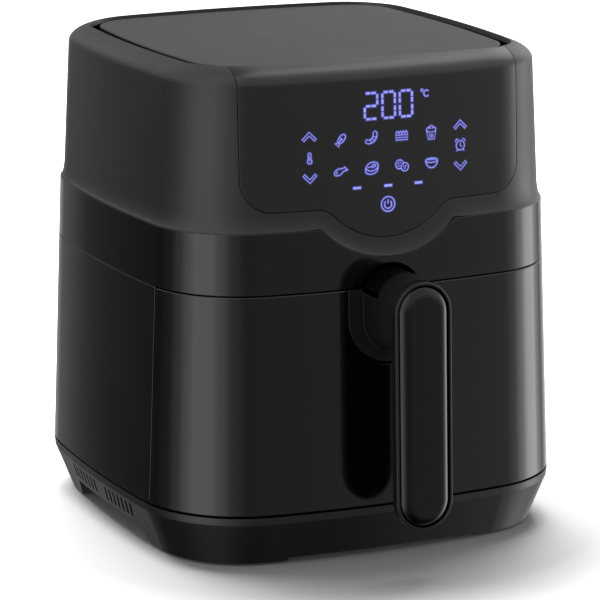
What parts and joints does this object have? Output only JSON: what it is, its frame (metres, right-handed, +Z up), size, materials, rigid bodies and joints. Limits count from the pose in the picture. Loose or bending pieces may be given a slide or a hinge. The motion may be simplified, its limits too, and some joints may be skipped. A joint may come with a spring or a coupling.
{
  "type": "air fryer",
  "caption": "Countertop air fryer: tapered rounded-square body with a belt, a touch panel, a grey lid plate and a pull-out drawer with an upright pill-shaped handle.",
  "frame": {"origin": "on the surface the feet stand on, under the middle of the whole footprint with the handle", "axes": "+Z up, +Y to the back, +X to the right of someone facing the front; the drawer opens along -Y"},
  "size_m": [0.27, 0.32, 0.2954],
  "materials": {
    "front_plastic": "satin black, softly mirrored",
    "side_plastic": "satin dark grey to black",
    "panel_plastic": "smoked, semi-gloss",
    "base_plastic": "fine texture, black",
    "inner_plastic": "plain moulded black",
    "grip_plastic": "fine satin black",
    "inlay_gloss": "polished black",
    "lid_grey": "satin mid grey",
    "rubber": "matte",
    "silicone": "matte, soft",
    "sheet_steel": "galvanised sheet",
    "screw_steel": "zinc plated",
    "element_sheath": "heat-tinted tube",
    "fan_aluminium": "stamped sheet",
    "motor_can": "lacquered laminations and can",
    "pot_coating": "dark non-stick coat with fine speckle",
    "circuit_board": "green solder mask",
    "white_plastic": "plain moulded white",
    "display_light": "lit violet-blue figures"
  },
  "bodies": {
    "housing": {"base": "base_plastic", "rubber_feet": "rubber", "base_screws": "screw_steel", "lower_shell": "side_plastic", "front_frame": "inner_plastic", "belt": "front_plastic", "rear_cover": "base_plastic", "cord_gland": "inner_plastic", "upper_housing": "side_plastic", "top_plate": "lid_grey", "control_panel": "panel_plastic", "display_board": "circuit_board", "display_module": "display_light", "touch_springs": "screw_steel", "board_screws": "screw_steel", "chamber": "sheet_steel", "drawer_rails": "sheet_steel", "heat_reflector": "sheet_steel", "heating_element": "element_sheath", "element_clips": "sheet_steel", "fan_guard": "screw_steel", "temperature_sensor": "screw_steel", "thermal_cutout": "screw_steel", "motor_bushes": "rubber", "motor_bracket": "sheet_steel", "motor_screws": "screw_steel", "motor": "motor_can", "exhaust_duct": "sheet_steel", "power_board": "circuit_board", "board_spacers": "white_plastic", "safety_switch": "inner_plastic"},
    "drawer": {"drawer_front": "front_plastic", "drawer_backing": "inner_plastic", "pot": "pot_coating", "pot_bracket": "sheet_steel", "pot_screws": "screw_steel", "grip_frame": "grip_plastic", "grip_inlay": "inlay_gloss", "grip_back": "grip_plastic", "grip_screws": "screw_steel", "handle_base": "grip_plastic", "handle_screws": "screw_steel", "button_spring": "screw_steel"},
    "tray": {"crisper_plate": "pot_coating", "tray_bumpers": "silicone"},
    "button": {"release_button": "inlay_gloss"},
    "rotor": {"motor_shaft": "screw_steel", "hot_fan": "fan_aluminium", "cooling_fan": "white_plastic", "fan_nut": "screw_steel"},
    "plunger": {"switch_plunger": "white_plastic"}
  },
  "joints": [
    {"name": "drawer_slide", "type": "slide", "parent": "housing", "child": "drawer", "axis": [0, -1, 0], "range_m": [0, 0.25]},
    {"name": "tray_lift", "type": "slide", "parent": "drawer", "child": "tray", "axis": [0, 0, 1], "range_m": [0, 0.1]},
    {"name": "button_press", "type": "slide", "parent": "drawer", "child": "button", "axis": [0, 0, -1], "range_m": [0, 0.0025], "stiffness_N_per_m": 400, "springref_m": -0.002, "deforming": ["button_spring"]},
    {"name": "fan_spin", "type": "hinge", "parent": "housing", "child": "rotor", "pos_m": [0, 0.0229, 0.22], "axis": [0, 0, 1], "continuous": true},
    {"name": "plunger_slide", "type": "slide", "parent": "housing", "child": "plunger", "axis": [0, -1, 0], "range_m": [0, 0.0026]}
  ],
  "couplings": [
    {"joint": "plunger_slide", "follows": "drawer_slide", "ratio": 0.01}
  ]
}
